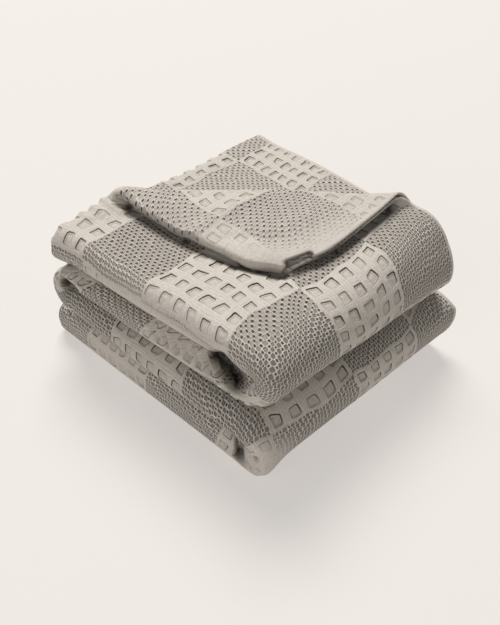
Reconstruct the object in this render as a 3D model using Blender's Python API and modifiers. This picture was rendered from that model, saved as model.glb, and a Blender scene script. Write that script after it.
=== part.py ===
"""A waffle weave cotton blanket, folded into a square stack with one top corner turned back.

The cloth is one sheet. It is folded crosswise in half, then lengthwise twice, which makes a
strip of eight plies: round and closed along -X, mostly open along +X. The strip goes back and
forth four times, with its turns along the two Y sides, so the stack has four levels. The far
corner (+X, +Y) of the two uppermost plies is rolled back towards the near corner (-X, -Y).

Metres, +Z up, origin at the middle of the underside.
"""
import bmesh
import bpy
from math import cos, exp, pi, sin
from mathutils import Vector

# The stack
WIDTH = 0.280            # X, along the rolls
DEPTH = 0.280            # Y, from turn to turn
LEVELS = 4

# The cloth and the strip that it is folded into
CLOTH = 0.0028           # thickness of the sheet
PLY = 0.0048             # from the middle of one ply to the middle of the next
LEVEL = 0.0392           # from the middle of one level to the middle of the next
TIGHTNESS = 0.70         # spacing of the plies where the strip turns, over their even spacing
SMALL = 1e-6
COTTON = (0.46, 0.43, 0.395, 1.0)

# Folds across the strip, from the uppermost ply inwards. Heights and radii are counted in plies
# and belong to the middle of a pair of plies.
ACROSS = (
    # side: which X side; inset: of the centre from that side (m); growth: of the radius, from
    # the middle of the pair to its outer ply; bulge: width of the turn over its height
    {"side": -1, "inset": 0.0150, "height": 0.0, "radius": 3.0, "growth": 1.0, "bulge": 0.80,
     "steps": 7},
    {"side": +1, "inset": 0.0110, "height": -2.0, "radius": 1.0, "growth": 1.0, "bulge": 1.0,
     "steps": 4},
    {"side": -1, "inset": 0.0150, "height": 0.0, "radius": 1.0, "growth": -1.0, "bulge": 0.90,
     "steps": 4},
)
OPEN_INSET = 0.002       # of the strip's open edges from the +X side

# Steps of the mesh
RUN_STEPS = 4            # along each flat run, across the strip
LENGTH_STEPS = 5         # along each level
TURN_STEPS = 6           # round each turn of the strip
HALF_FOLD_STEPS = 4      # round the crosswise fold
ROLL_STEPS = 6           # round the roll of the turned back corner

# The corners of the stack, from the lowest level up: the shift of each level's corner from the
# even stack along X and Y, and the height of the level's top there (m)
SETTLED = (
    {"near": (0.008, -0.009, 0.044), "left": (0.003, 0.028, 0.046),
     "right": (0.016, -0.010, 0.040), "far": (0.018, 0.024, 0.040)},
    {"near": (0.002, -0.009, 0.088), "left": (0.005, 0.028, 0.084),
     "right": (0.011, -0.010, 0.078), "far": (0.013, 0.024, 0.080)},
    {"near": (0.006, -0.010, 0.127), "left": (0.003, 0.025, 0.122),
     "right": (0.006, -0.008, 0.118), "far": (0.012, 0.020, 0.120)},
    {"near": (0.006, -0.008, 0.171), "left": (0.001, 0.002, 0.162),
     "right": (0.003, -0.004, 0.161), "far": (0.014, 0.004, 0.163)},
)

# Slow waves that the levels lie in: direction in plan, length from crest to crest, height of a
# crest on the uppermost ply, and phase
WAVES = (
    {"along_x": 0.94, "along_y": 0.34, "length": 0.128, "height": 0.0013, "phase": 0.6},
    {"along_x": -0.42, "along_y": 0.91, "length": 0.161, "height": 0.0012, "phase": 2.1},
)

# The corner that is turned back: its crest crosses the two far sides here, as shares of the side
CREST_LEFT = 0.215       # along the +Y side, from -X
CREST_RIGHT = 0.165      # along the +X side, from -Y
CREST_RADIUS = 0.0085    # of the roll, at the middle of the two plies
CREST_FALL = 0.065       # slope at which the corner comes down to its tip
CREST_SKEW = 0.29        # drift of the corner towards +X, over its way back from the crest
CREST_TAKE_UP = 0.19     # share of the corner's way back that its puckers take up
CREST_END_LIFT = 0.007   # how far the crest's end on the +X side stands up off the stack
CREST_END_REACH = 0.050  # distance over which that fades
CREST_END_OUT = 0.006    # how far that end hangs out over the +X side


def straight(x_from, x_to, height, steps):
    """Points along a flat run, without its first one."""
    return [(x_from + (x_to - x_from) * step / steps, height) for step in range(1, steps + 1)]


def across_strip(fold):
    """(x, height) of the cloth across the strip, from its upper open edge to its inner one.
    `fold` is +0.5 in the outer ply of each pair of plies and -0.5 in the inner one."""
    open_x = WIDTH / 2 - OPEN_INSET
    points = [(open_x, (ACROSS[0]["radius"] + fold) * PLY)]
    going_down = 1
    for turn in ACROSS:
        centre_x = turn["side"] * (WIDTH / 2 - turn["inset"])
        centre_z = turn["height"] * PLY
        radius = (turn["radius"] + turn["growth"] * fold) * PLY
        points += straight(points[-1][0], centre_x, centre_z + going_down * radius, RUN_STEPS)
        for step in range(1, turn["steps"] + 1):
            angle = pi * step / turn["steps"]
            reach = turn["side"] * turn["bulge"] * radius * sin(angle)
            points.append((centre_x + reach, centre_z + going_down * radius * cos(angle)))
        going_down = -1
    points += straight(points[-1][0], open_x, points[-1][1], RUN_STEPS)
    return points


def strip_route():
    """Stations along the strip's middle, from the top level's far end down to the lowest level's
    far end: y, z, the strip's upper side as (normal y, normal z), and how far the station is into
    a turn along -Y and into one along +Y, from 0 to 1."""
    reach = DEPTH / 2 - LEVEL / 2 - 3.5 * PLY - CLOTH / 2
    route = []
    facing = 1
    for level in range(LEVELS):
        z = (LEVELS - level - 0.5) * LEVEL
        start, end = facing * reach, -facing * reach
        if level == 0:
            start = DEPTH / 2 - PLY / 2 - CLOTH / 2
        if level == LEVELS - 1:
            end = DEPTH / 2 - CLOTH
        first_step = 0 if level == 0 else 1
        for step in range(first_step, LENGTH_STEPS + 1):
            share = step / LENGTH_STEPS
            near_turn = share if facing > 0 else 1 - share
            far_turn = 0.0 if level == 0 and facing > 0 else 1 - near_turn
            if level == LEVELS - 1:
                far_turn = 0.0
            route.append((start + (end - start) * share, z, 0.0, facing, near_turn, far_turn))
        if level == LEVELS - 1:
            break
        for step in range(1, TURN_STEPS + 1):
            angle = pi * step / TURN_STEPS
            out = -facing * sin(angle)
            up = cos(angle)
            y = end + out * LEVEL / 2
            z_turn = z - LEVEL / 2 + up * LEVEL / 2
            into = (1.0, 0.0) if facing > 0 else (0.0, 1.0)
            route.append((y, z_turn, out * facing, up * facing) + into)
        facing = -facing
    return route


def cloth_rows():
    """The middle surface of the folded cloth: rows along the sheet's length (outer half,
    crosswise fold, inner half), each a list of points across it."""
    route = strip_route()
    stations = [(station, 0.5, 0.0) for station in reversed(route)]
    for step in range(1, HALF_FOLD_STEPS):
        angle = pi * step / HALF_FOLD_STEPS
        stations.append((route[0], 0.5 * cos(angle), 0.5 * PLY * sin(angle)))
    stations += [(station, -0.5, 0.0) for station in route]
    half = 3.5 * PLY
    rows = []
    for (y, z, normal_y, normal_z, near_turn, far_turn), fold, beyond in stations:
        row = []
        for x, w in across_strip(fold):
            # a turn presses its plies together, so the inner ones reach further into it
            pressed = (1 - TIGHTNESS) * (far_turn * (half + w) - near_turn * (half - w))
            row.append((x, y + beyond + w * normal_y + pressed, z + w * normal_z))
        rows.append(row)
    return rows


def turn_back_corner(bm):
    """Rolls the far corner of the two uppermost plies back over the top."""
    middle_z = (LEVELS - 0.5) * LEVEL + 3.0 * PLY
    left = Vector((WIDTH * (CREST_LEFT - 0.5), DEPTH / 2, middle_z))
    right = Vector((WIDTH / 2, DEPTH * (CREST_RIGHT - 0.5), middle_z))
    along = (right - left).normalized()
    outward = Vector((-along.y, along.x, 0.0))
    pair = [face for face in bm.faces if all(vert.co.z > middle_z - PLY for vert in face.verts)]
    for step in range(ROLL_STEPS + 1):
        place = left + outward * pi * CREST_RADIUS * step / ROLL_STEPS
        geometry = set(pair)
        geometry.update(edge for face in pair for edge in face.edges)
        geometry.update(vert for face in pair for vert in face.verts)
        cut = bmesh.ops.bisect_plane(bm, geom=list(geometry), dist=SMALL, plane_co=place,
                                     plane_no=outward)
        pair = [item for item in cut["geom"] if isinstance(item, bmesh.types.BMFace)]
    for vert in {vert for face in pair for vert in face.verts}:
        beyond = (vert.co - left).dot(outward)
        if beyond <= SMALL:
            continue
        angle = min(beyond / CREST_RADIUS, pi)
        back = beyond - angle * CREST_RADIUS
        inner = CREST_RADIUS - (vert.co.z - middle_z)
        way_back = back * (1 - CREST_TAKE_UP)
        vert.co += outward * (inner * sin(angle) - way_back - beyond)
        vert.co += along * CREST_SKEW * back
        vert.co.z = middle_z + CREST_RADIUS - inner * cos(angle) - CREST_FALL * back
    for vert in {vert for face in pair for vert in face.verts}:
        nearness = exp(-((vert.co - right).xy.length / CREST_END_REACH) ** 2)
        vert.co.x += CREST_END_OUT * nearness
        vert.co.z += CREST_END_LIFT * nearness


def blend_corners(level, x, y):
    """Plan shift and top height of a level, counted from the lowest, over a point of the plan."""
    corners = {name: Vector(values) for name, values in SETTLED[level].items()}
    right = x / WIDTH + 0.5
    far = y / DEPTH + 0.5
    front = corners["near"].lerp(corners["right"], right)
    back = corners["left"].lerp(corners["far"], right)
    return front.lerp(back, far)


def wave_height(x, y):
    """Height of the slow waves over a point of the plan."""
    total = 0.0
    for wave in WAVES:
        way = x * wave["along_x"] + y * wave["along_y"]
        total += wave["height"] * sin(2 * pi * way / wave["length"] + wave["phase"])
    return total


def settle(point):
    """Where a point of the even stack comes to rest. The lowest ply stays flat on the ground."""
    x, y, z = point
    ground = LEVEL / 2 - 3.5 * PLY
    level = min(int(z / LEVEL), LEVELS - 1)
    nominal_low = level * LEVEL if level > 0 else ground
    low = blend_corners(level - 1, x, y).z if level > 0 else CLOTH / 2
    high = blend_corners(level, x, y).z
    share = (z - nominal_low) / ((level + 1) * LEVEL - nominal_low)
    rest_z = low + (high - low) * share if share < 1 else high + z - LEVELS * LEVEL
    rest_z += wave_height(x, y) * min((z - ground) / (LEVELS * LEVEL), 1.0)
    storey = min(max(z / LEVEL - 0.5, 0.0), LEVELS - 1 - SMALL)
    below = blend_corners(int(storey), x, y)
    above = blend_corners(int(storey) + 1, x, y)
    shift = below.lerp(above, storey - int(storey))
    return Vector((x + shift.x, y + shift.y, rest_z))


def centre_in_plan(bm):
    """Moves the cloth so that the middle of its plan is the origin."""
    for axis in (0, 1):
        reach = [vert.co[axis] for vert in bm.verts]
        middle = (min(reach) + max(reach)) / 2
        for vert in bm.verts:
            vert.co[axis] -= middle


def folded_cloth(name):
    """The cloth's middle surface as a mesh."""
    bm = bmesh.new()
    rows = [[bm.verts.new(point) for point in row] for row in cloth_rows()]
    for row, following in zip(rows, rows[1:]):
        for c in range(len(row) - 1):
            bm.faces.new((row[c], row[c + 1], following[c + 1], following[c]))
    turn_back_corner(bm)
    for vert in bm.verts:
        vert.co = settle(vert.co)
    centre_in_plan(bm)
    mesh = bpy.data.meshes.new(name)
    bm.to_mesh(mesh)
    bm.free()
    mesh.shade_smooth()
    return mesh


def cotton(name):
    """The colour and the dull surface of the cloth."""
    material = bpy.data.materials.new(name)
    material.use_nodes = True
    surface = material.node_tree.nodes["Principled BSDF"]
    surface.inputs["Base Color"].default_value = COTTON
    surface.inputs["Roughness"].default_value = 0.9
    surface.inputs["Metallic"].default_value = 0.0
    return material


for leftover in list(bpy.data.objects):
    bpy.data.objects.remove(leftover)
collection = bpy.data.collections.new("waffle_weave_blanket")
bpy.context.scene.collection.children.link(collection)
blanket = bpy.data.objects.new("blanket", folded_cloth("blanket"))
collection.objects.link(blanket)
blanket.data.materials.append(cotton("taupe_cotton"))
thicken = blanket.modifiers.new("cloth thickness", "SOLIDIFY")
thicken.thickness = CLOTH
thicken.offset = 0.0
thicken.use_even_offset = True
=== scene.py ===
"""The looks of a folded waffle weave cotton blanket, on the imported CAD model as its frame.

The cloth is laid along the same folds as the solid, and gets its weave: a checkerboard of
patches, one kind with large sunken squares and one kind with a fine open mesh. Every point of it
has cloth coordinates, in metres: u along the strip that the stack is folded from, v across it.
They place the relief of the weave and its colours.
"""
from collections import namedtuple
from math import pi, radians

import bpy
import numpy as np
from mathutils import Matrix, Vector


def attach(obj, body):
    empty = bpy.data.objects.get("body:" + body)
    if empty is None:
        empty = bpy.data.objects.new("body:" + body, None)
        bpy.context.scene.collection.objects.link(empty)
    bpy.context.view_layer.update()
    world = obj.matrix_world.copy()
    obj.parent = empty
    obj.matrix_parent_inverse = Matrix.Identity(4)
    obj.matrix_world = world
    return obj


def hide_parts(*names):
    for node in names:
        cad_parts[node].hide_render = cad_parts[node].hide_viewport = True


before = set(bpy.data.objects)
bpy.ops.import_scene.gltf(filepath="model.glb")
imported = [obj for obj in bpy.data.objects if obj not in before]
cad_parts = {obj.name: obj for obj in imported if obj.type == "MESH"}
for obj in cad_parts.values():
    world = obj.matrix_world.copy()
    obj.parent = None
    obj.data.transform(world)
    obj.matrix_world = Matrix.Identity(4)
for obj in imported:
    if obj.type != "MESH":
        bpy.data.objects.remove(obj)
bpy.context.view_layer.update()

# --- Sizes of the folded cloth (m). All but the corners and the crest, which are fitted to the photo
# more closely, are the CAD model's.

WIDTH = 0.280            # X, along the rolls
DEPTH = 0.280            # Y, from turn to turn
LEVELS = 4
CLOTH = 0.0028           # thickness of the sheet
PLY = 0.0048             # from the middle of one ply to the middle of the next
LEVEL = 0.0392           # from the middle of one level to the middle of the next
HALF_STRIP = 3.5 * PLY   # from the strip's middle to the middle of its outermost ply
TIGHTNESS = 0.70         # spacing of the plies where the strip turns, over their even spacing
OPEN_INSET = 0.002       # of the strip's open edges from the +X side
SMALL = 1e-6
GROUND = 0.0001          # lowest height of the cloth's face

# Folds across the strip, from the uppermost ply inwards, in plies
ACROSS = (
    {"side": -1, "inset": 0.0150, "height": 0.0, "radius": 3.0, "growth": 1.0, "bulge": 0.80},
    {"side": +1, "inset": 0.0110, "height": -2.0, "radius": 1.0, "growth": 1.0, "bulge": 1.0},
    {"side": -1, "inset": 0.0150, "height": 0.0, "radius": 1.0, "growth": -1.0, "bulge": 0.90},
)

# The corners of the stack, from the lowest level up: the shift of each level's corner from the
# even stack along X and Y, and the height of the level's top there
Corners = namedtuple("Corners", "near left right far")
SETTLED = (
    Corners((0.0132, 0.0016, 0.0501), (0.0149, 0.0420, 0.0504),
            (0.0126, 0.0006, 0.0427), (0.0186, 0.0241, 0.0403)),
    Corners((-0.0019, -0.0022, 0.0941), (0.0040, 0.0310, 0.0906),
            (0.0160, -0.0101, 0.0806), (0.0139, 0.0234, 0.0804)),
    Corners((0.0126, -0.0021, 0.1322), (0.0022, 0.0245, 0.1227),
            (0.0014, -0.0056, 0.1218), (0.0121, 0.0196, 0.1195)),
    Corners((0.0073, -0.0100, 0.1702), (0.0010, 0.0038, 0.1661),
            (0.0049, 0.0066, 0.1659), (0.0172, 0.0070, 0.1652)),
)
MIDDLE = (0.009439, 0.013768)   # of the CAD model's plan, which is at its origin
WAVES = (
    {"along_x": 0.94, "along_y": 0.34, "length": 0.128, "height": 0.0013, "phase": 0.6},
    {"along_x": -0.42, "along_y": 0.91, "length": 0.161, "height": 0.0012, "phase": 2.1},
)

# The corner that is turned back
CREST_LEFT = 0.1975      # along the +Y side, from -X, as a share of it
CREST_RIGHT = 0.1343     # along the +X side, from -Y, as a share of it
CREST_RADIUS = 0.0090    # of the roll, at the middle of the two plies
CREST_FALL = 0.088       # slope at which the corner comes down to its tip
CREST_SKEW = 0.345       # drift of the corner towards +X, over its way back from the crest
CREST_TAKE_UP = 0.187    # share of the corner's way back that its puckers take up
CREST_END_LIFT = 0.006   # how far the crest's end on the +X side stands up off the stack
CREST_END_REACH = 0.050  # distance over which that fades
CREST_END_OUT = -0.005   # how far that end hangs out over the +X side, or in if below 0
CREST_REACH = 0.012      # distance behind the crest over which the forms below set in

# The turned back corner sags outwards along its left edge, which is the crosswise fold: by
# `out` (m) at `from_tip`, less further off along the edge and away from it
SAGS = (
    {"from_tip": 0.106, "reach": 0.056, "out": 0.0152},
    {"from_tip": 0.030, "reach": 0.038, "out": 0.0172},
    {"from_tip": 0.175, "reach": 0.030, "out": 0.0015},
)
SAG_WIDTH = 0.060        # distance from the edge over which that fades
TIP_ROUNDING = 0.016     # how far the tip's right edge is drawn in
TIP_REACH = 0.034        # distance from the tip over which that fades
LOFT = 0.0055            # how far the corner's edge puffs up, a little way in from the fold
LOFT_FROM, LOFT_TO = 0.016, 0.075       # distances from the fold between which it does
FOLD_OPENING = 0.0026    # how much further apart the two plies are where they meet in the fold
FOLD_REACH = 0.018       # distance from the fold over which that fades

# Creases, hollows and ruffles: cloth near the line between two points (m) moves by `move`, and
# less further off: by `reach` to the sides, and by `depth` the way that it moves
Crease = namedtuple("Crease", "start end reach depth move")
CREASES = (
    # hollow in the end of the upper roll, by the near corner, painted in shade inside
    Crease((-0.141, -0.1, 0.139), (-0.141, -0.119, 0.125), 0.0075, 0.04, (0.022, 0.021, -0.022)),
    # slit in the end of the lower roll, painted in shade inside, and the foot beside it with its folds
    Crease((-0.141, -0.1225, 0.049), (-0.137, -0.1185, 0.016), 0.0036, 0.04, (0.025, 0.024, -0.004)),
    Crease((-0.132, -0.14, 0.03), (-0.132, -0.14, 0.004), 0.018, 0.02, (-0.0055, -0.0055, 0.0)),
    Crease((-0.1405, -0.1427, 0.051), (-0.1405, -0.143, 0.049), 0.002, 0.01, (0.006, 0.004, 0.0)),
    Crease((-0.1405, -0.132, 0.031), (-0.1405, -0.137, 0.0225), 0.002, 0.01, (0.006, 0.004, 0.0)),
    Crease((-0.1405, -0.144, 0.034), (-0.1405, -0.15, 0.032), 0.002, 0.01, (0.004, 0.003, 0.0)),
    # hollow in the end of the fold at the left corner, painted in shade inside, with pleats over it and
    # a crease below
    Crease((-0.149, 0.12, 0.1035), (-0.149, 0.108, 0.102), 0.0052, 0.02, (0.018, 0.014, -0.01)),
    Crease((-0.149, 0.113, 0.13), (-0.149, 0.1035, 0.114), 0.002, 0.015, (0.006, 0.0, 0.0)),
    Crease((-0.149, 0.105, 0.136), (-0.149, 0.094, 0.114), 0.002, 0.015, (0.006, 0.0, 0.0)),
    Crease((-0.149, 0.095, 0.14), (-0.149, 0.0835, 0.116), 0.002, 0.015, (0.0055, 0.0, 0.0)),
    Crease((-0.149, 0.121, 0.0716), (-0.149, 0.144, 0.042), 0.0022, 0.02, (0.006, 0.0, 0.0)),
    # ruffles of the crosswise fold beside the crest
    Crease((-0.081, 0.104, 0.168), (-0.081, 0.136, 0.164), 0.005, 0.005, (0.0, 0.002, 0.0045)),
    Crease((-0.095, 0.11, 0.168), (-0.095, 0.136, 0.164), 0.0048, 0.0048, (0.0, 0.002, 0.0036)),
    Crease((-0.109, 0.116, 0.168), (-0.109, 0.136, 0.164), 0.0046, 0.0046, (0.0, 0.001, 0.0026)),
    # soft ridge over the turned back corner, and a trough along its left edge
    Crease((-0.068, 0.013, 0.177), (0.017, 0.006, 0.187), 0.0085, 0.0085, (0.0, 0.0, 0.0032)),
    Crease((-0.046, -0.02, 0.18), (-0.022, -0.05, 0.18), 0.008, 0.008, (0.0, 0.0, -0.0024)),
    Crease((0.0, -0.046, 0.182), (0.05, -0.05, 0.184), 0.012, 0.012, (0.0, 0.0, 0.002)),
    # groove beside the hem at the right end of the upper roll
    Crease((0.134, -0.089, 0.169), (0.134, -0.11, 0.16), 0.0018, 0.006, (-0.003, 0.002, -0.0028)),
    Crease((0.134, -0.113, 0.158), (0.134, -0.134, 0.1415), 0.0018, 0.006, (-0.003, 0.002, -0.0028)),
)

# The cloth under the corner's left edge, and then under its right one, gives way and is painted in
# shade
UNDER_CORNER = (
    Crease((-0.0715, 0.102, 0.1695), (-0.0725, 0.026, 0.17), 0.0042, 0.007, (0.0075, 0.0075, -0.0075)),
    Crease((-0.0725, 0.018, 0.17), (-0.0645, -0.038, 0.168), 0.0042, 0.007, (0.0075, 0.0075, -0.0075)),
    Crease((-0.062, -0.045, 0.168), (-0.0445, -0.084, 0.168), 0.0048, 0.007, (0.0075, 0.0075, -0.0075)),
    Crease((-0.033, -0.0905, 0.169), (0.017, -0.0955, 0.169), 0.0042, 0.006, (0.0055, 0.0055, -0.0055)),
    Crease((0.025, -0.0955, 0.169), (0.106, -0.087, 0.169), 0.0042, 0.006, (0.0055, 0.0055, -0.0055)),
)
# Opening of the fold at the corner's tip, painted in shade inside
TIP_OPENING = (
    Crease((-0.0352, -0.0804, 0.1745), (-0.0161, -0.0893, 0.178), 0.0027, 0.0075, (0.01, 0.01, -0.008)),
)
# Rucks in the second level's closed edge: the first of them, and the step to the next
RUCK = Crease((-0.1405, -0.0055, 0.1213), (-0.1405, -0.0127, 0.1098), 0.0034, 0.012, (0.0065, 0.0, 0.0))
RUCK_STEP = (0.0, -0.0136, 0.0002)
RUCKS = 8
DEEP = 0.008             # creases that move the cloth further than this are painted in shade
SHADE_DEPTH = 0.45       # how far down the painted shade is full, as a share of their move
SHADE_WIDTH = 1.3        # how wide it is, as a share of their reach
SHADE_END = (1.06, 1.20) # and where it ends, beyond the bottom, as shares of their move


# --- Where the cloth lies. All of these take and give arrays.

def across_strip(place, fold):
    """x and height over the strip's middle. `place` counts the section's parts from the upper
    open edge: 0 to 1 is the uppermost run, 1 to 2 the turn at its end, and so on. `fold` is the
    distance out from the middle of the pair of plies, in plies: above 0 for the sheet's outer
    half, below 0 for its inner half."""
    place, fold = np.broadcast_arrays(place, fold)
    x = np.empty(place.shape)
    height = np.empty(place.shape)
    start_x = end_x = WIDTH / 2 - OPEN_INSET
    going_down = 1
    for index, turn in enumerate(ACROSS):
        centre_x = turn["side"] * (WIDTH / 2 - turn["inset"])
        radius = (turn["radius"] + turn["growth"] * fold) * PLY
        entry = turn["height"] * PLY + going_down * radius
        share = place - 2 * index
        run = (share >= 0) & (share < 1)
        x[run] = (start_x + (centre_x - start_x) * share)[run]
        height[run] = entry[run]
        angle = pi * (share - 1)
        bend = (share >= 1) & (share < 2)
        x[bend] = (centre_x + turn["side"] * turn["bulge"] * radius * np.sin(angle))[bend]
        height[bend] = (turn["height"] * PLY + going_down * radius * np.cos(angle))[bend]
        start_x = centre_x
        leaving = turn["height"] * PLY - going_down * radius
        going_down = -1
    share = place - 2 * len(ACROSS)
    last = share >= 0
    x[last] = (start_x + (end_x - start_x) * share)[last]
    height[last] = leaving[last]
    return x, height


def along_strip(place):
    """y, z and the upper side's normal (y, z) on the strip's middle, and how far the place is into
    a turn along -Y and into one along +Y. `place` counts the route's parts from the top level's
    far end: 0 to 1 is the top level, 1 to 2 its turn, and so on."""
    reach = DEPTH / 2 - LEVEL / 2 - HALF_STRIP - CLOTH / 2
    y, z, normal_y, normal_z, near, far = (np.empty(place.shape) for _ in range(6))
    facing = 1
    for level in range(LEVELS):
        level_z = (LEVELS - level - 0.5) * LEVEL
        start, end = facing * reach, -facing * reach
        if level == 0:
            start = DEPTH / 2 - PLY / 2 - CLOTH / 2
        if level == LEVELS - 1:
            end = DEPTH / 2 - CLOTH
        share = place - 2 * level
        run = (share >= 0) & (share < 1) if level < LEVELS - 1 else share >= 0
        y[run] = (start + (end - start) * share)[run]
        z[run] = level_z
        normal_y[run], normal_z[run] = 0.0, facing
        near[run] = (share if facing > 0 else 1 - share)[run]
        far[run] = 0.0 if level in (0, LEVELS - 1) else (1 - near)[run]
        angle = pi * (share - 1)
        turn = (share >= 1) & (share < 2)
        y[turn] = (end - facing * np.sin(angle) * LEVEL / 2)[turn]
        z[turn] = (level_z - LEVEL / 2 + np.cos(angle) * LEVEL / 2)[turn]
        normal_y[turn] = -np.sin(angle)[turn]
        normal_z[turn] = (facing * np.cos(angle))[turn]
        near[turn], far[turn] = (1.0, 0.0) if facing > 0 else (0.0, 1.0)
        facing = -facing
    return y, z, normal_y, normal_z, near, far


def near_to(distance, reach):
    """1 where the distance is 0, and smoothly less further off."""
    return np.exp(-(distance / reach) ** 2)


def turn_back_corner(x, y, z, in_pair, lifted):
    """Rolls the far corner of the two uppermost plies back over the top. `lifted` is how far
    points take part in the lift of the crest's right end, from 0 to 1."""
    middle_z = (LEVELS - 0.5) * LEVEL + ACROSS[0]["radius"] * PLY
    left = np.array((WIDTH * (CREST_LEFT - 0.5), DEPTH / 2))
    right = np.array((WIDTH / 2, DEPTH * (CREST_RIGHT - 0.5)))
    along = (right - left) / np.linalg.norm(right - left)
    outward = np.array((-along[1], along[0]))
    from_fold, from_edge = DEPTH / 2 - y, WIDTH / 2 - x
    beyond = (x - left[0]) * outward[0] + (y - left[1]) * outward[1]
    beyond = np.where(in_pair, np.maximum(beyond, 0.0), 0.0)
    angle = np.minimum(beyond / CREST_RADIUS, pi)
    back = beyond - angle * CREST_RADIUS
    inner = CREST_RADIUS - (z - middle_z)
    shift = inner * np.sin(angle) - back * (1 - CREST_TAKE_UP) - beyond
    x = x + outward[0] * shift + along[0] * CREST_SKEW * back
    y = y + outward[1] * shift + along[1] * CREST_SKEW * back
    z = middle_z + CREST_RADIUS - inner * np.cos(angle) - CREST_FALL * back
    turned = 1 - near_to(back, CREST_REACH)
    sag = sum(row["out"] * near_to(from_edge - row["from_tip"], row["reach"]) for row in SAGS)
    x = x - turned * sag * near_to(np.maximum(from_fold, 0.0), SAG_WIDTH)
    y = y + turned * TIP_ROUNDING * near_to(from_fold, TIP_REACH) * near_to(from_edge, TIP_REACH)
    z = z + turned * LOFT * (near_to(from_fold, LOFT_TO) - near_to(from_fold, LOFT_FROM))
    nearness = near_to(np.hypot(x - right[0], y - right[1]), CREST_END_REACH) * lifted
    return x + CREST_END_OUT * nearness, y, z + CREST_END_LIFT * nearness


def blend_corners(level, x, y):
    """Plan shift and top height of a level, counted from the lowest, over points of the plan."""
    near, left, right, far = np.moveaxis(np.array(SETTLED)[level], -2, 0)
    x_share = (x / WIDTH + 0.5)[..., None]
    y_share = (y / DEPTH + 0.5)[..., None]
    front = near * (1 - x_share) + right * x_share
    back = left * (1 - x_share) + far * x_share
    return front * (1 - y_share) + back * y_share


def settle(x, y, z):
    """Where points of the even stack come to rest. The lowest ply stays flat on the ground."""
    ground = LEVEL / 2 - HALF_STRIP
    level = np.clip((z / LEVEL).astype(int), 0, LEVELS - 1)
    nominal_low = np.where(level > 0, level * LEVEL, ground)
    low = np.where(level > 0, blend_corners(np.maximum(level - 1, 0), x, y)[..., 2], CLOTH / 2)
    high = blend_corners(level, x, y)[..., 2]
    share = (z - nominal_low) / ((level + 1) * LEVEL - nominal_low)
    rest_z = np.where(share < 1, low + (high - low) * share, high + z - LEVELS * LEVEL)
    waves = sum(wave["height"] * np.sin(2 * pi * (x * wave["along_x"] + y * wave["along_y"])
                                        / wave["length"] + wave["phase"]) for wave in WAVES)
    rest_z = rest_z + waves * np.minimum((z - ground) / (LEVELS * LEVEL), 1.0)
    storey = np.clip(z / LEVEL - 0.5, 0.0, LEVELS - 1 - SMALL)
    lower = storey.astype(int)
    part = (storey - lower)[..., None]
    shift = blend_corners(lower, x, y) * (1 - part) + blend_corners(lower + 1, x, y) * part
    return x + shift[..., 0], y + shift[..., 1], rest_z


def all_creases():
    """The rows of all tables of creases, with each of the rucks."""
    rows = list(CREASES + UNDER_CORNER + TIP_OPENING)
    for number in range(RUCKS):
        step = number * np.array(RUCK_STEP)
        rows.append(RUCK._replace(start=RUCK.start + step, end=RUCK.end + step))
    return rows


def from_crease(points, row):
    """How far points are off a crease's line, the way that it moves and to its sides."""
    line = np.subtract(row.end, row.start)
    share = np.clip((points - row.start) @ line / (line @ line), 0.0, 1.0)
    offset = points - row.start - share[..., None] * line
    way = np.array(row.move) / np.linalg.norm(row.move)
    deep = offset @ way
    return deep, np.linalg.norm(offset - deep[..., None] * way, axis=-1)


def crease(x, y, z):
    """Moves points by the creases that they lie near."""
    points = np.stack((x, y, z), -1)
    moved = points.copy()
    for row in all_creases():
        deep, aside = from_crease(points, row)
        moved += (near_to(aside, row.reach) * near_to(deep, row.depth))[..., None] * row.move
    return moved[..., 0], moved[..., 1], moved[..., 2]


def shade_in_hollows(points, rows):
    """How far points are painted in shade, as light would be kept off them by the hollows that they lie
    in, from 0 to 1.
    """
    shade = np.zeros(points.shape[:-1])
    for row in rows:
        length = np.linalg.norm(row.move)
        if length > DEEP:
            deep, aside = from_crease(points, row)
            inside = np.clip(deep / (SHADE_DEPTH * length), 0.0, 1.0)
            inside *= 1.0 - ramp(deep / length, *SHADE_END)
            shade = np.maximum(shade, inside * near_to(aside, SHADE_WIDTH * row.reach))
    return shade


def lay(across, along, fold, beyond=0.0, past_edge=0.0):
    """Where points of the cloth lie in the stack. `across` and `along` are places in the section
    and on the route, `fold` the distance out from the middle of the pair of plies in plies,
    `beyond` how far the crosswise fold carries them in +Y, `past_edge` the open edge in +X."""
    across, along, fold, beyond, past_edge = np.broadcast_arrays(
        across, along, fold, beyond, past_edge)
    x, height = across_strip(across, fold)
    y, z, normal_y, normal_z, near, far = along_strip(along)
    pressed = (1 - TIGHTNESS) * (far * (HALF_STRIP + height) - near * (HALF_STRIP - height))
    in_pair = (across < 1) & (along < 1)
    lifted = np.where(across < 1, 0.5 + 0.5 * np.cos(2 * pi * np.clip(along - 1, 0.0, 0.5)), 0.0)
    x, y, z = settle(*turn_back_corner(x + past_edge, y + beyond + height * normal_y + pressed,
                                       z + height * normal_z, in_pair, lifted))
    return crease(x - MIDDLE[0], y - MIDDLE[1], z)


# --- Cloth coordinates: u is the distance along the strip from its crosswise fold, v the distance
# across it from its open edge, both on the outside of the doubled cloth

FACE = 0.5 + CLOTH / 2 / PLY     # the doubled cloth's outer face, in plies from its middle
SECTION_STEPS = 60               # points to measure each part of the section by


def route_knots():
    """Distances along the strip at which the parts of its route begin."""
    turn = pi * (LEVEL / 2 + HALF_STRIP + CLOTH / 2)
    knots = [0.0]
    for part in range(2 * LEVELS - 1):
        if part % 2:
            knots.append(knots[-1] + turn)
        else:
            y = along_strip(np.array((part, part + 1 - SMALL)))[0]
            knots.append(knots[-1] + abs(y[1] - y[0]))
    return np.array(knots)


ALONG_KNOTS = route_knots()
ALONG_PARTS = np.arange(len(ALONG_KNOTS))


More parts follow.
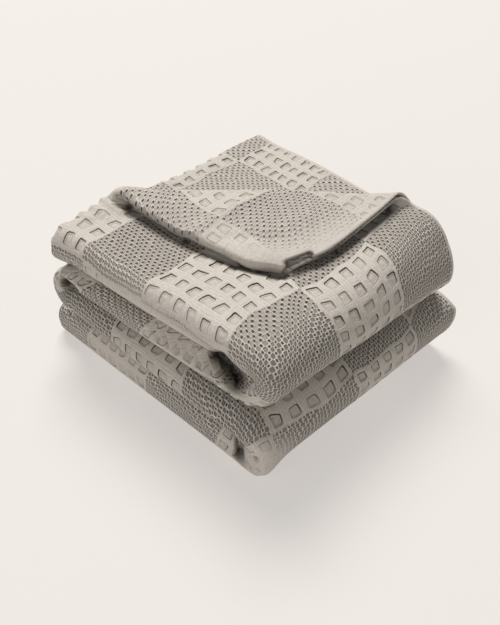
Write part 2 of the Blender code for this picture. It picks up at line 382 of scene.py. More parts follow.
def section_lengths(half):
    """Distances across the strip, and the places of the section that they belong to."""
    parts = 2 * len(ACROSS) + 1
    places = np.linspace(0, parts, parts * SECTION_STEPS + 1)
    x, height = across_strip(places, half * FACE)
    steps = np.hypot(np.diff(x), np.diff(height))
    return np.concatenate(([0.0], np.cumsum(steps))), places


ACROSS_LENGTHS = {half: section_lengths(half) for half in (1, -1)}


def outside(u, v, half, relief=0.0):
    """The outer face of the doubled cloth's outer (half = 1) or inner (-1) sheet, with `relief`
    metres more. Below v = 0 the face goes round the open edge and back inside, below u = 0 it
    goes round the crosswise fold."""
    u, v, relief = np.broadcast_arrays(u, v, relief)
    lengths, places = ACROSS_LENGTHS[half]
    width = lengths[-1]
    across = np.interp(v, lengths, places)
    along = np.interp(u, ALONG_KNOTS, ALONG_PARTS)
    lip = CLOTH / 2
    past = np.maximum(-v, v - width)
    round_edge = np.clip(past / lip, 0.0, pi)
    under = np.clip(past - pi * lip, 0.0, None)
    opening = FOLD_OPENING * near_to(np.maximum(u, 0.0), FOLD_REACH)
    out = PLY / 2 + opening + np.where(past > 0, lip * np.cos(round_edge), lip + relief)
    past_edge = lip * np.sin(round_edge) - under
    round_fold = np.clip(-u / (PLY / 2 + lip), 0.0, pi)
    x, y, z = lay(across, along, half * out * np.cos(round_fold) / PLY,
                  out * np.sin(round_fold), past_edge)
    return x, y, np.maximum(z, GROUND)


# --- The weave: a checkerboard whose patches are as uneven as the photo shows. Each band of patches
# has its border (m), and how many waffle squares and mesh cells lie across it. Beyond these
# bands it goes on evenly.

Band = namedtuple("Band", "start squares cells")
BANDS = {
    "outer half": {
        "along": (
            Band(-0.060, 6, 15), Band(0.040, 5, 14), Band(0.121, 6, 16), Band(0.221, 5, 12),
            Band(0.312, 4, 9), Band(0.378, 6, 14), Band(0.466, 5, 10), Band(0.543, 6, 14),
            Band(0.640, 6, 13), Band(0.738, 6, 13), Band(0.830, 6, 14), Band(0.919, 7, 15),
            Band(1.030, 6, 13), Band(1.117, 6, 13), Band(1.197, 6, 13),
        ),
        "across": (
            Band(-0.013, 5, 15), Band(0.085, 5, 13), Band(0.175, 5, 12), Band(0.284, 5, 12),
        ),
        "lower_drift": 0.025, "skew": 0.0,
    },
    "turned back corner": {
        "along": (Band(-0.078, 6, 12), Band(0.026, 6, 13), Band(0.133, 5, 12)),
        "across": (Band(-0.005, 5, 12), Band(0.088, 5, 12)),
        "lower_drift": 0.0, "skew": 0.15,
    },
    "bared corner": {
        "along": (Band(-0.080, 7, 14), Band(0.019, 7, 13), Band(0.114, 7, 13)),
        "across": (Band(0.953, 5, 12), Band(1.039, 5, 12)),
        "lower_drift": 0.0, "skew": 0.0,
    },
}
# The cloth is pulled out of true by handling: waves that shift the weave along u or v, by their
# size (m), with so many waves to the metre along and across the strip
Pull = namedtuple("Pull", "size along across phase")
PULLS = {
    "u": (Pull(0.0013, 4.3, 9.1, 0.4), Pull(0.0010, 13.7, -17.3, 2.2),
          Pull(0.0003, 31.0, 41.0, 5.1), Pull(0.0005, 57.0, -23.0, 1.7)),
    "v": (Pull(0.0015, 7.9, 3.1, 1.3), Pull(0.0007, -16.9, 12.1, 3.7),
          Pull(0.0003, 43.0, -29.0, 0.9), Pull(0.0005, -27.0, 53.0, 4.1)),
}
Spot = namedtuple("Spot", "size u v reach_u reach_v")
# Places where the pattern of the outer half strays further, by `size` along u or v
STRAYS = {
    "u": (Spot(-0.013, 0.258, 0.130, 0.060, 0.050), Spot(0.020, 0.905, 0.015, 0.050, 0.050),
          Spot(-0.007, 0.922, 0.210, 0.030, 0.050)),
    "v": (Spot(-0.012, 0.275, 0.187, 0.060, 0.050),),
}
# The same where only the border between the patches strays
BORDER_STRAYS = {"u": (), "v": (Spot(-0.045, 0.290, 0.315, 0.060, 0.030),)}
# Places where the weave is pulled nearly plain, full at a size of 1
PLAIN = {
    "outer half": (
        Spot(1.80, 0.135, 0.312, 0.085, 0.028), Spot(0.90, 0.950, 0.264, 0.026, 0.024),
        Spot(0.80, 0.422, 0.268, 0.044, 0.030), Spot(0.65, 0.968, 0.300, 0.035, 0.028),
        Spot(0.50, 1.160, 0.290, 0.045, 0.030), Spot(0.70, 0.000, 0.215, 0.020, 0.030)),
    "turned back corner": (
        Spot(0.85, 0.000, 0.045, 0.028, 0.055), Spot(0.90, 0.060, 0.004, 0.100, 0.026)),
    "bared corner": (),
}
CREST_PLAIN = 0.90       # the same along the crest
CREST_PLAIN_AT = 2.7     # where that is, in radii of the crest from where it sets off
CREST_PLAIN_REACH = 0.0050              # and how far it reaches
EVEN_BAND = {"length": 0.096, "squares": 6, "cells": 13}
UNITS = ("patches", "squares", "cells")
WOVEN_FROM, WOVEN_TO = -0.10, 1.32      # the bands cover this much of the cloth
DRIFT_FROM, DRIFT_TO = 0.36, 0.70       # where the lower levels' shift across the strip sets in
SKEW_CENTRE = 0.06       # v at which a skew shifts nothing

# The squares. Distances from a square's middle are shares of the way to its rim.
SQUARE_ALONG = 0.60      # size of a sunken square, as a share of its room along the strip
SQUARE_ACROSS = 0.55     # and across it
CORNER_CUT = 0.56        # above 0.5, it cuts the squares' corners off
RIM_AT = 0.97            # middle of the step at the rim
FIRST_STEP = 0.0016      # depth of that step
FLOOR_AT = 0.68          # middle of the step round the floor
SECOND_STEP = 0.0005     # further depth of the floor
STEEP, GENTLE = 0.05, 0.10              # half the steps' width, and what softness adds to it
PUFF = 0.0005            # how far the floor swells in its middle
PUFF_TO = 0.66           # and where that ends
FAINT = 0.30             # how much fainter the faintest squares are
FAINT_ROW, FAINT_COLUMN = 0.381, 0.273  # turns from faint to clear and back, for each step
RIDGE = 0.0001           # height of the ridges between the squares
RIDGE_BESIDE, RIDGE_ABOVE = (0.84, 0.97), (0.88, 1.00)      # where they rise, in half rooms
RIDGE_SHARE = 0.6        # height of the ridges above and below, as a share of those beside
RIB = 0.00016            # height of the ribs between the squares
RIBS = 7                 # how many of them there are to a square
RIBS_AT = (0.92, 1.04)   # and where they set in
FIRST_LINE = (0.82, 0.90, 0.98, 1.06)   # painted shadow line inside the rim: where it begins, is full, begins to fade and ends, and the one round the floor
SECOND_LINE = (0.57, 0.63, 0.67, 0.73)  # begins to fade and ends, and the one round the floor
FIRST_DARK, SECOND_DARK = 1.15, 0.22    # how dark these painted shadow lines are
LIT, LIT_SLANT = (-0.30, 0.35), 0.7     # where the first line fades towards the lit corner, so that the painted shadow lies on the side away from the light
WAFFLE_HEIGHT, HEIGHT_CHANGE = 0.56, 0.30       # for the painted light and shade in the colour: mean, and change by the relief
SOFT = 1.0               # softness of the steps in the skins' relief, as their grid is coarse

# The mesh. Lengths along a column are shares of a cell, widths are shares of half a column.
STRAND = 0.28            # width of the mesh's strands, as a share of the room of a cell
LEAN = 0.45              # how far the cells lean across the columns, in columns a cell
ZIGZAG = 0.045           # how far the strands wind about, as a share of two columns
PANE = 0.0011            # depth of the mesh's large cells
HOLE = 0.0018            # depth of its small ones
PANE_AT, HOLE_AT = 0.31, 0.80           # middles of the large and the small cells
PANE_SIDES = (1.7, 0.5)  # sides of the large cells, in strands
PANE_ENDS = (0.18, 0.29) # and their ends
HOLE_SIDES, HOLE_ENDS = (0.45, 1.00), (0.10, 0.22)
HOLE_GROWTH = 0.4        # how much smaller the small cells are where the mesh gapes
FLAT_GLOOM = 0.24        # painted shade in the large cells where the mesh lies flat
GAPING_GLOOM = 0.68      # and where it gapes round a turn
GAPE_FULL = 0.6          # how far into a turn it gapes fully
DRAWN_TOGETHER = 0.5     # how much less the inner half's mesh gapes
SUNKEN = -0.3 * PANE     # mean relief of the mesh


def all_bands(rows, unit):
    """Borders of the bands over the whole cloth, and the count of units before each border."""
    borders = [row.start for row in rows]
    counts = [1 if unit == "patches" else getattr(row, unit) for row in rows]
    even = 1 if unit == "patches" else EVEN_BAND[unit]
    while borders[0] > WOVEN_FROM or len(borders) % 2 != len(rows) % 2:
        borders.insert(0, borders[0] - EVEN_BAND["length"])
        counts.insert(0, even)
    while borders[-1] < WOVEN_TO:
        borders.append(borders[-1] + EVEN_BAND["length"])
        counts.append(even)
    return borders, np.concatenate(([0], np.cumsum(counts)))[:len(borders)]


def spots(u, v, rows):
    """Sum of the rows' sizes, each full at its place and smoothly less further off."""
    return sum(row.size * near_to(u - row.u, row.reach_u) * near_to(v - row.v, row.reach_v)
               for row in rows)


def stray(u, v, rows):
    """Cloth coordinates moved by the rows that they lie near."""
    return u + spots(u, v, rows["u"]), v + spots(u, v, rows["v"])


def plain_share(u, v, bands):
    """How far the weave is pulled plain, from 0 to 1."""
    share = spots(u, v, PLAIN[bands])
    if bands == "turned back corner":
        left, right = WIDTH * (1 - CREST_LEFT), DEPTH * (1 - CREST_RIGHT)
        beyond = (1 - u / right - v / left) * left * right / np.hypot(left, right)
        share += CREST_PLAIN * near_to(beyond - CREST_RADIUS * CREST_PLAIN_AT, CREST_PLAIN_REACH)
    return np.clip(share, 0.0, 1.0)


def in_turn(place):
    """1 in the middle of a turn, 0 at its ends and on the flat runs."""
    part = np.floor(place)
    return np.where(part % 2 == 1, np.sin(pi * (place - part)), 0.0)


def gape_share(u, v, half):
    """How far the mesh gapes: up to 1 where the cloth is stretched round a turn, and below 0 on
    the sheet's inner half, where it is drawn together."""
    along = np.interp(u, ALONG_KNOTS, ALONG_PARTS)
    across = np.interp(v, *ACROSS_LENGTHS[half])
    gape = ramp(np.maximum(in_turn(along), in_turn(across)), 0.0, GAPE_FULL)
    return gape if half > 0 else gape - DRAWN_TOGETHER


def weave_coordinates(u, v, bands):
    """Where points lie in the weave, along and across, counted in patches, squares and cells."""
    pulled = [sum(row.size * np.sin(2 * pi * (u * row.along + v * row.across) + row.phase)
                  for row in rows) for rows in (PULLS["u"], PULLS["v"])]
    u, v = u + pulled[0] - BANDS[bands]["skew"] * (v - SKEW_CENTRE), v + pulled[1]
    if bands == "outer half":
        u, v = stray(u, v, STRAYS)
    places = {}
    for unit in UNITS:
        if bands == "outer half" and unit == "patches":
            along, across = stray(u, v, BORDER_STRAYS)
        else:
            along, across = u, v
        share = np.clip((along - DRIFT_FROM) / (DRIFT_TO - DRIFT_FROM), 0.0, 1.0)
        across = across + BANDS[bands]["lower_drift"] * share
        places[unit, "along"] = np.interp(along, *all_bands(BANDS[bands]["along"], unit))
        places[unit, "across"] = np.interp(across, *all_bands(BANDS[bands]["across"], unit))
    return places


def node(tree, kind, inputs=None, **settings):
    """A new node, with its settings and the values or links of its inputs, by name or number."""
    made = tree.nodes.new(kind)
    for name, value in settings.items():
        setattr(made, name, value)
    for name, value in (inputs or {}).items():
        socket = made.inputs[name]
        if isinstance(value, Wire):
            tree.links.new(value.socket, socket)
        elif isinstance(value, bpy.types.NodeSocket):
            tree.links.new(value, socket)
        else:
            socket.default_value = value
    return made


class Wire:
    """A number in a shader. Arithmetic on it adds the nodes that work it out."""

    def __init__(self, tree, socket):
        self.tree = tree
        self.socket = socket

    def math(self, operation, *numbers, clamp=False):
        inputs = dict(enumerate((self, *numbers)))
        made = node(self.tree, "ShaderNodeMath", inputs, operation=operation, use_clamp=clamp)
        return Wire(self.tree, made.outputs[0])

    def __add__(self, other):
        return self.math("ADD", other)

    def __sub__(self, other):
        return self.math("SUBTRACT", other)

    def __mul__(self, other):
        return self.math("MULTIPLY", other)

    def __rsub__(self, other):
        return self.math("MULTIPLY", -1.0) + other

    __radd__ = __add__
    __rmul__ = __mul__


def floor(number):
    return number.math("FLOOR") if isinstance(number, Wire) else np.floor(number)


def magnitude(number):
    return number.math("ABSOLUTE") if isinstance(number, Wire) else np.abs(number)


def wave(number):
    """A cosine wave, one for each whole step of the number."""
    angle = number * (2 * pi)
    return angle.math("COSINE") if isinstance(angle, Wire) else np.cos(angle)


def larger(one, other):
    return one.math("MAXIMUM", other) if isinstance(one, Wire) else np.maximum(one, other)


def ramp(number, low, high):
    """Smoothly from 0 where the number is at `low` to 1 where it is at `high`."""
    share = (number - low) * (1 / (high - low))
    if isinstance(share, Wire):
        share = share.math("ADD", 0.0, clamp=True)
    else:
        share = np.clip(share, 0.0, 1.0)
    return share * share * (3.0 - 2.0 * share)


def line_share(number, edges):
    """Smoothly from 0 to 1 between the first two edges, and back between the last two."""
    return ramp(number, *edges[:2]) * (1.0 - ramp(number, *edges[2:]))


def waffle(places, softness):
    """Relief (m), painted shade and height (both 0 to 1) of the waffle squares; the height paints the
    colour lighter where they are raised.
    """
    row, column = floor(places["squares", "along"]), floor(places["squares", "across"])
    p_side = places["squares", "along"] - row - 0.5
    q_side = places["squares", "across"] - column - 0.5
    p, q = magnitude(p_side) * 2.0, magnitude(q_side) * 2.0
    p_share = p * (1 / SQUARE_ALONG)
    q_share = q * (1 / SQUARE_ACROSS)
    from_centre = larger(larger(p_share, q_share), (p_share + q_share) * CORNER_CUT)
    wide = STEEP + GENTLE * softness
    depth = 1.0 - FAINT * (0.5 + 0.5 * wave(row * FAINT_ROW + column * FAINT_COLUMN))
    rim_step = (1.0 - ramp(from_centre, RIM_AT - wide, RIM_AT + wide)) * depth
    floor_step = 1.0 - ramp(from_centre, FLOOR_AT - wide, FLOOR_AT + wide)
    swelling = 1.0 - ramp(from_centre, 0.0, PUFF_TO)
    beside = ramp(q_share, *RIBS_AT)
    above = ramp(p_share, *RIBS_AT) * (1.0 - beside)
    ribs = (wave(places["squares", "across"] * RIBS) * beside
            + wave(places["squares", "along"] * RIBS) * above)
    ridge = larger(ramp(q, *RIDGE_BESIDE), ramp(p, *RIDGE_ABOVE) * RIDGE_SHARE)
    relief = (ridge * RIDGE + swelling * PUFF - rim_step * FIRST_STEP - floor_step * SECOND_STEP)
    if isinstance(ribs, Wire):
        relief = relief + ribs * RIB
    # Painted shadow: the dark lines in the squares' steps are fullest on the side away from the light
    unlit = FIRST_DARK - ramp(p_side + q_side * LIT_SLANT, *LIT)
    lines = (line_share(from_centre, FIRST_LINE) * unlit
             + line_share(from_centre, SECOND_LINE) * SECOND_DARK) * depth
    return relief, lines, WAFFLE_HEIGHT + ribs * HEIGHT_CHANGE - rim_step * HEIGHT_CHANGE


def fine_mesh(places):
    """The same of the mesh: columns of large shallow cells and small deep ones in turns, each
    column half a step along from its neighbours, with thin strands between them all."""
    across = places["cells", "across"]
    across = across + wave(places["cells", "along"] - PANE_AT) * wave(across) * ZIGZAG
    column = floor(across * 2.0)
    place = places["cells", "along"] + (column * 0.5 - floor(column * 0.5))
    along = place - floor(place)
    aside = across * 2.0 - column - 0.5
    from_pane = magnitude(aside - (along - PANE_AT) * LEAN) * 2.0
    from_hole = magnitude(aside - (along - HOLE_AT) * LEAN) * 2.0
    in_pane = ((1.0 - ramp(from_pane, *(1.0 - side * STRAND for side in PANE_SIDES)))
               * (1.0 - ramp(magnitude(along - PANE_AT), *PANE_ENDS)))
    growth = 1.0 + HOLE_GROWTH * magnitude(places["gape"])
    in_hole = ((1.0 - ramp(from_hole * growth, *HOLE_SIDES))
               * (1.0 - ramp(magnitude(along - HOLE_AT) * growth, *HOLE_ENDS)))
    relief = in_pane * -PANE - in_hole * HOLE
    # Painted shade in the cells: the large ones darker where the mesh gapes round a turn, the small
    # ones darkest
    gloom = FLAT_GLOOM + places["gape"] * (GAPING_GLOOM - FLAT_GLOOM)
    return relief, in_pane * gloom + in_hole, 1.0 - larger(in_pane, in_hole)


def pick(is_mesh, of_waffle, of_mesh):
    return tuple(one + (other - one) * is_mesh for one, other in zip(of_waffle, of_mesh))


def where_mesh(places):
    patch = floor(places["patches", "along"]) + floor(places["patches", "across"])
    return patch - 2.0 * floor(patch * 0.5)


def coarse_relief(places):
    """The part of the relief that is wide enough for the skins' grid."""
    relief = waffle(places, SOFT)[0]
    return relief + (SUNKEN - relief) * where_mesh(places)


# --- Pieces. The skins are what shows: one face of the cloth, with its relief. They lie on the sheet,
# which is the whole cloth in its thickness, and which is left out where a skin covers it.

GRID = 0.00125           # spacing of a skin's points
OVERLAP = 0.008          # how far a skin reaches over the sheet
HEM = 0.0035             # width of the hem along the cloth's edges
HEM_EDGE = (-0.0010, 0.0005)            # where it gives way to the weave, from there
SHEET = 0.0024           # thickness of the sheet, which keeps it a little under the skins
SHEET_GRID = 0.0095      # spacing of the sheet's points on its flat runs
TURN_POINTS = {"along": (16, 16, 16), "across": (10, 6, 6)}
CAP_STEPS = 4            # rows of faces over each half of the crosswise fold
LAST_ROW = 0.0012        # width of the last row of faces along the sheet's edges

CAP = -0.00625           # u at the middle of the crosswise fold
RIM = -0.0125            # v inside the open edge, past its rim
WIDTH_OF = {half: lengths[-1] for half, (lengths, _) in ACROSS_LENGTHS.items()}
INNER_PLACES = (0.05, WIDTH_OF[-1] - 0.01)      # limits outside these are the cloth's edges
BEYOND_ALL = 2.0         # further than any place on the cloth
CORNERS_MEET = 0.5       # v where the sheet's inner half goes over to the other corner's bands

SKINS = {
    "blanket_top": {"half": 1, "bands": "outer half", "patches": (
        {"u": (CAP, 0.375), "v": (RIM, 0.335)},)},
    "blanket_left_side": {"half": 1, "bands": "outer half", "patches": (
        {"u": (0.375, 0.865), "v": (0.240, 0.335)},)},
    "blanket_lower_roll": {"half": 1, "bands": "outer half", "patches": (
        {"u": (0.865, 1.025), "v": (RIM, 0.335)}, {"u": (1.025, 1.2425), "v": (0.240, 0.335)})},
    "blanket_far_roll": {"half": 1, "bands": "outer half", "patches": (
        {"u": (0.5525, 0.690), "v": (0.315, 0.570)},)},
    "blanket_turned_corner": {"half": -1, "bands": "turned back corner", "patches": (
        {"u": (CAP, 0.250), "v": (RIM, 0.250)},)},
    "blanket_bared_corner": {"half": -1, "bands": "bared corner", "patches": (
        {"u": (CAP, 0.240), "v": (0.915, WIDTH_OF[-1] - RIM)},)},
}


def lattice(limits):
    """Evenly spaced points between the limits, and one more at each end."""
    first, last = (round(limit / GRID) for limit in limits)
    return np.arange(first - 1, last + 2) * GRID


def grid_faces(rows, columns, first=0):
    index = first + np.arange(rows * columns).reshape(rows, columns)
    corners = (index[:-1, :-1], index[1:, :-1], index[1:, 1:], index[:-1, 1:])
    return np.stack(corners, -1).reshape(-1, 4)


def hem_share(u, v, half):
    """1 on the hem along the open edges, 0 on the rest of the cloth."""
    from_edge = np.minimum(np.abs(v), WIDTH_OF[half] - v)
    return 1.0 - ramp(from_edge, *(HEM + edge for edge in HEM_EDGE))


def skin_patch(patch, half, bands):
    """Points, normals and weave coordinates of a patch of skin, as grids."""
    u, v = np.meshgrid(lattice(patch["u"]), lattice(patch["v"]), indexing="ij")
    places = weave_coordinates(u, v, bands)
    plain = np.maximum(hem_share(u, v, half), plain_share(u, v, bands))
    relief = coarse_relief(places) * (1 - plain)
    points = np.stack(outside(u, v, half, relief), -1)
    along = points[2:, 1:-1] - points[:-2, 1:-1]
    across = points[1:-1, 2:] - points[1:-1, :-2]
    normals = np.cross(along, across)
    out = np.stack(outside(u, v, half, relief + GRID), -1) - points
    facing = np.sign(np.sum(out[1:-1, 1:-1] * normals))
    normals *= facing / np.maximum(np.linalg.norm(normals, axis=-1), SMALL ** 2)[..., None]
    # Painted shade from the hollows that the skin lies in
    hollows = TIP_OPENING if bands == "turned back corner" else CREASES + UNDER_CORNER
    places.update(plain=plain, gape=gape_share(u, v, half), shade=shade_in_hollows(points, hollows))
    inner = {key: place[1:-1, 1:-1] for key, place in places.items()}
    return points[1:-1, 1:-1], normals, inner, facing


def add_coordinates(mesh, places):
    """Keeps the weave coordinates, the plain and gape shares and the painted shade in the mesh for the
    material.
    """
    vertices = np.empty(len(mesh.loops), dtype=int)
    mesh.loops.foreach_get("vertex_index", vertices)
    pairs = {unit: ((unit, "along"), (unit, "across")) for unit in UNITS}
    for name, keys in {**pairs, "plain": ("plain", "gape"), "shade": ("shade", "shade")}.items():
        pair = np.stack([places[key].ravel() for key in keys], -1)
        layer = mesh.uv_layers.new(name=name)
        layer.data.foreach_set("uv", pair[vertices].astype(np.float32).ravel())


def join_places(parts):
    return {key: np.concatenate([part[key].ravel() for part in parts]) for key in parts[0]}


def add_object(name, data):
    made = bpy.data.objects.new(name, data)
    bpy.context.scene.collection.objects.link(made)
    return made


def make_object(name, points, faces, places):
    mesh = bpy.data.meshes.new(name)
    mesh.from_pydata(points.tolist(), [], faces.tolist())
    mesh.polygons.foreach_set("use_smooth", np.ones(len(mesh.polygons), dtype=bool))
    add_coordinates(mesh, places)
    piece = add_object(name, mesh)
    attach(piece, "root")
    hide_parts("blanket")
    return piece


def make_skin(name, half, bands, patches):
    points, normals, faces, places = [], [], [], []
    for patch in patches:
        grid, grid_normals, grid_places, facing = skin_patch(patch, half, bands)
        first = sum(len(part) for part in points)
        quads = grid_faces(*grid.shape[:2], first)
        faces.append(quads if facing > 0 else quads[:, ::-1])
        points.append(grid.reshape(-1, 3))
        normals.append(grid_normals.reshape(-1, 3))
        places.append(grid_places)
    piece = make_object(name, np.concatenate(points), np.concatenate(faces), join_places(places))
    piece.data.normals_split_custom_set_from_vertices(np.concatenate(normals).tolist())
    return piece


def spaced(lengths, turn_points):
    """Evenly spaced places in each part of a way: turns have their own number of them."""
    counts = [turn_points[part // 2] if part % 2 else int(np.ceil(length / SHEET_GRID))
              for part, length in enumerate(lengths)]
    return [part + np.arange(count) / count for part, count in enumerate(counts)]


def sheet_places():
    """Places along the route and across the section at which the sheet has its points."""
    along = spaced(np.diff(ALONG_KNOTS), TURN_POINTS["along"])
    across = spaced([WIDTH - 2 * ACROSS[0]["inset"]] * (2 * len(ACROSS) + 1), TURN_POINTS["across"])
    last = LAST_ROW / WIDTH
    ends = 2 * LEVELS - 1, 2 * len(ACROSS) + 1
    along = np.concatenate([*along, [ends[0] - last, ends[0]]])
    across = np.concatenate([[0.0, last], *across, [ends[1] - last, ends[1]]])
    return np.unique(along), np.unique(across)


def make_sheet(name):
    """The whole cloth in its thickness, as one mesh, without what the skins cover."""
    along, across = sheet_places()
    cap = np.linspace(0, pi / 2, CAP_STEPS + 1)[1:]
    route = np.concatenate((along[::-1], 0 * cap, 0 * cap[:-1], along))
    turned = np.concatenate((0 * along, cap, cap[:-1][::-1], 0 * along))
    half = np.concatenate((-np.ones(len(along) + len(cap) - 1), np.ones(len(cap) + len(along))))
    outer_half = (half > 0)[:, None]
    grids = [np.stack(lay(
        across[None, :], route[:, None], (half * out * np.cos(turned))[:, None] / PLY,
        (out * np.sin(turned))[:, None]), -1)
        for out in (PLY / 2 + SHEET / 2, PLY / 2 - SHEET / 2)]
    u = np.interp(route, ALONG_PARTS, ALONG_KNOTS) - turned * (PLY + CLOTH) / 2
    u = np.broadcast_to(u[:, None], (len(route), len(across)))
    v = np.where(outer_half, *(np.interp(across, *ACROSS_LENGTHS[side][::-1])[None, :]
                               for side in (1, -1)))
    covered = np.zeros((len(route) - 1, len(across) - 1), dtype=bool)
    for skin in SKINS.values():
        for patch in skin["patches"]:
            inside = half[:, None] == skin["half"]
            for distance, (low, high) in ((u, patch["u"]), (v, patch["v"])):
                low = low + OVERLAP if low > INNER_PLACES[0] else -BEYOND_ALL
                high = high - OVERLAP if high < INNER_PLACES[1] else BEYOND_ALL
                inside = inside & (distance >= low) & (distance <= high)
            covered |= inside[:-1, :-1] & inside[1:, :-1] & inside[:-1, 1:] & inside[1:, 1:]
    kept = ~covered
    grid_size = len(route) * len(across)
    quads = grid_faces(len(route), len(across)).reshape(len(route) - 1, len(across) - 1, 4)
    outer, inner = quads[kept], quads[kept][:, ::-1] + grid_size
    padded = np.pad(kept, 1)
    rims = []
    for corner, shift in enumerate(((0, 1), (-1, 0), (0, -1), (1, 0))):
        open_side = kept & ~np.roll(padded, shift, (0, 1))[1:-1, 1:-1]
        start, end = quads[open_side][:, corner], quads[open_side][:, (corner + 1) % 4]
        rims.append(np.stack((end, start, start + grid_size, end + grid_size), -1))
    faces = np.concatenate((outer, inner, *rims))
    points = np.concatenate([grid.reshape(-1, 3) for grid in grids])
    places = weave_coordinates(u, v, "outer half")
    for bands, where in (("turned back corner", ~outer_half & (v < CORNERS_MEET)),
                         ("bared corner", ~outer_half & (v >= CORNERS_MEET))):
        other = weave_coordinates(u, v, bands)
        places = {key: np.where(where, other[key], place) for key, place in places.items()}
    for key, share in (("plain", hem_share), ("gape", gape_share)):
        places[key] = np.where(outer_half, share(u, v, 1), share(u, v, -1))
    used = np.unique(faces)
    renumber = np.zeros(2 * grid_size, dtype=int)
    renumber[used] = np.arange(len(used))
    places = {key: np.tile(place.ravel(), 2)[used] for key, place in places.items()}
    # Painted shade from the hollows that the sheet lies in
    places["shade"] = shade_in_hollows(points[used], CREASES + TIP_OPENING)
    return make_object(name, points[used], renumber[faces], places)


# --- Material

SHADE = 0.92             # how much of the colour the painted shade in the hollows takes
# the colour of the painted shade, in the weave's recesses and deep in the hollows
PAINTED_SHADE_COLOUR = (0.040, 0.027, 0.019, 1.0)
# the cloth's colour in its middle, and painted lighter where the weave is raised
MIDDLE_COLOUR = (0.46, 0.42, 0.372, 1.0)
RAISED_COLOUR = (0.64, 0.597, 0.545, 1.0)
PLAIN_HEIGHT = 0.6       # height of the plain cloth, for the painted light and shade in its colour
# What the shares of the raised colour, painted lighter where the weave is raised and varied by the
# cloth's own uneven tone, and of the painted shade colour come from
RAISED_BY_HEIGHT, RAISED_BY_YARN, RAISED_BY_BLOTCH = 0.75, 1.1, 0.4
HOLLOW, HOLLOW_BY_BLOTCH, HOLLOW_BY_FIBRE = 0.65, 0.5, 0.25
MILLIMETRE = 0.001
FIBRE_BUMP, YARN_BUMP = 0.30, 0.65      # their heights (mm)


def mix_colour(tree, share, one, other):
    inputs = {0: share, 6: one, 7: other}
    return node(tree, "ShaderNodeMix", inputs, data_type="RGBA").outputs[2]


def stored_pair(tree, name):
    """The two numbers that add_coordinates keeps under a name."""
    stored = node(tree, "ShaderNodeUVMap", uv_map=name)
    parts = node(tree, "ShaderNodeSeparateXYZ", {"Vector": stored.outputs["UV"]})
    return Wire(tree, parts.outputs["X"]), Wire(tree, parts.outputs["Y"])


def noise(tree, where, scale, detail, roughness):
    inputs = {"Vector": where, "Scale": scale, "Detail": detail, "Roughness": roughness}
    return Wire(tree, node(tree, "ShaderNodeTexNoise", inputs).outputs[0])


def cotton(name, on_relief):
    """The cotton. Its bump gives the weave's relief, or what a skin's own relief leaves of it."""
    material = bpy.data.materials.new(name)
    material.use_nodes = True
    tree = material.node_tree
    tree.nodes.clear()
    places = {}
    for unit in UNITS:
        places[unit, "along"], places[unit, "across"] = stored_pair(tree, unit)
    plain, places["gape"] = stored_pair(tree, "plain")
    woven = 1.0 - plain
    shade = stored_pair(tree, "shade")[0]
    relief, hollow, raised = (part * woven for part in pick(
        where_mesh(places), waffle(places, 0.0), fine_mesh(places)))
    raised = raised + (1.0 - woven) * PLAIN_HEIGHT
    if on_relief:
        relief = relief - coarse_relief(places) * woven
    where = node(tree, "ShaderNodeTexCoord").outputs["Object"]
    fibre = noise(tree, where, scale=900.0, detail=2.0, roughness=0.6)
    blotch = noise(tree, where, scale=22.0, detail=3.0, roughness=0.55)
    yarn = noise(tree, where, scale=370.0, detail=2.0, roughness=0.5)
    # The colour is painted lighter where the weave is raised and darker where it is sunken, as light
    # and shade would fall; the yarn and blotch noise are the cloth's own uneven tone
    raised = (raised * RAISED_BY_HEIGHT + (yarn - 0.5) * RAISED_BY_YARN
              + blotch * RAISED_BY_BLOTCH)
    colour = mix_colour(tree, raised, MIDDLE_COLOUR, RAISED_COLOUR)
    # Painted shade in the weave's recesses, varied by the blotch and fibre noise
    hollow = hollow.math("ADD", 0.0, clamp=True)
    hollow = hollow * (HOLLOW + blotch * HOLLOW_BY_BLOTCH) + (fibre - 0.5) * HOLLOW_BY_FIBRE
    colour = mix_colour(tree, hollow, colour, PAINTED_SHADE_COLOUR)
    # Painted shade deep in the hollows of the creases and under the turned back corner
    colour = mix_colour(tree, shade * SHADE, colour, PAINTED_SHADE_COLOUR)
    height = relief * (1 / MILLIMETRE) + fibre * FIBRE_BUMP + yarn * YARN_BUMP
    bump = node(tree, "ShaderNodeBump",
                {"Strength": 1.0, "Distance": MILLIMETRE, "Height": height})
    shader = node(tree, "ShaderNodeBsdfPrincipled", {
        "Base Color": colour, "Roughness": 0.92, "Specular IOR Level": 0.12,
        "Sheen Weight": 0.10, "Sheen Roughness": 0.5, "Normal": bump.outputs["Normal"]})
    node(tree, "ShaderNodeOutputMaterial", {"Surface": shader.outputs["BSDF"]})
    return material


RELIEF_COTTON = cotton("taupe_cotton_relief", True)
PLAIN_COTTON = cotton("taupe_cotton_plain", False)

skins = [make_skin(name, **layout) for name, layout in SKINS.items()]
for piece in skins:
    piece.data.materials.append(RELIEF_COTTON)
sheet = make_sheet("blanket_sheet")
sheet.data.materials.append(PLAIN_COTTON)


# --- Floor, light and camera

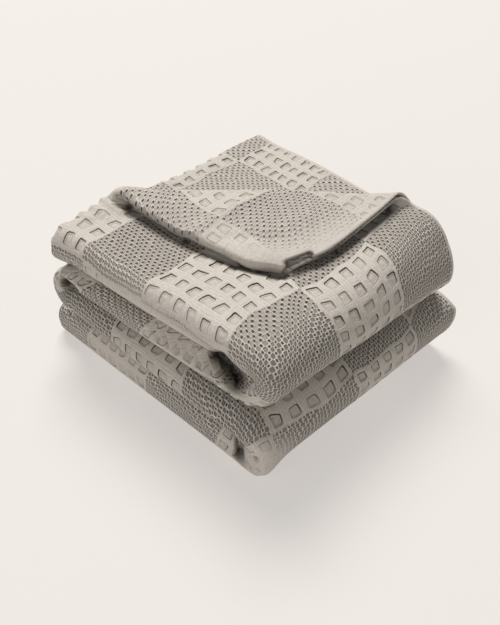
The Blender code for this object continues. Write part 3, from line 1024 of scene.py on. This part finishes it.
def make_floor():
    mesh = bpy.data.meshes.new("studio_floor")
    reach = 4.0
    corners = [(-reach, -reach, 0), (reach, -reach, 0), (reach, reach, 0), (-reach, reach, 0)]
    mesh.from_pydata(corners, [], [(0, 1, 2, 3)])
    material = bpy.data.materials.new("pale_floor")
    material.use_nodes = True
    look = {"Base Color": (0.30, 0.289, 0.275, 1.0), "Emission Color": (1.0, 0.955, 0.91, 1.0),
            "Emission Strength": 0.50, "Roughness": 0.8, "Specular IOR Level": 0.2}
    for name, value in look.items():
        material.node_tree.nodes["Principled BSDF"].inputs[name].default_value = value
    mesh.materials.append(material)
    add_object("studio_floor", mesh)


LIT_POINT = Vector((0, 0, 0.08))
LIGHTS = (
    {"name": "key", "place": (2.0, 2.9, 6.9), "side": 4.0, "power": 665.0,
     "colour": (1.0, 0.975, 0.945)},
    {"name": "left_fill", "place": (-3.9, -1.1, 2.2), "side": 3.0, "power": 46.0,
     "colour": (1.0, 0.985, 0.96)},
)


def make_light(name, place, side, power, colour):
    data = bpy.data.lights.new(name, "AREA")
    data.shape = "RECTANGLE"
    data.size = data.size_y = side
    data.energy = power
    data.color = colour
    light = add_object(name, data)
    light.location = place
    light.rotation_euler = (LIT_POINT - Vector(place)).to_track_quat("-Z", "Y").to_euler()


def make_camera():
    turn, rise, distance = radians(-45.6), radians(39.8), 0.947
    target = Vector((-0.007, -0.004, 0.056))
    back = Vector((np.sin(turn) * np.cos(rise), -np.cos(turn) * np.cos(rise), np.sin(rise)))
    data = bpy.data.cameras.new("photo_camera")
    data.lens = 51.84
    data.sensor_width = 36.0
    camera = add_object("photo_camera", data)
    camera.location = target + back * distance
    camera.rotation_euler = (pi / 2 - rise, 0.0, turn)
    bpy.context.scene.camera = camera


make_floor()
for light in LIGHTS:
    make_light(**light)
make_camera()

world = bpy.data.worlds.new("studio")
world.use_nodes = True
background = world.node_tree.nodes["Background"]
background.inputs["Color"].default_value = (1.0, 0.985, 0.965, 1.0)
background.inputs["Strength"].default_value = 0.205
bpy.context.scene.world = world
bpy.context.scene.view_settings.view_transform = "Standard"
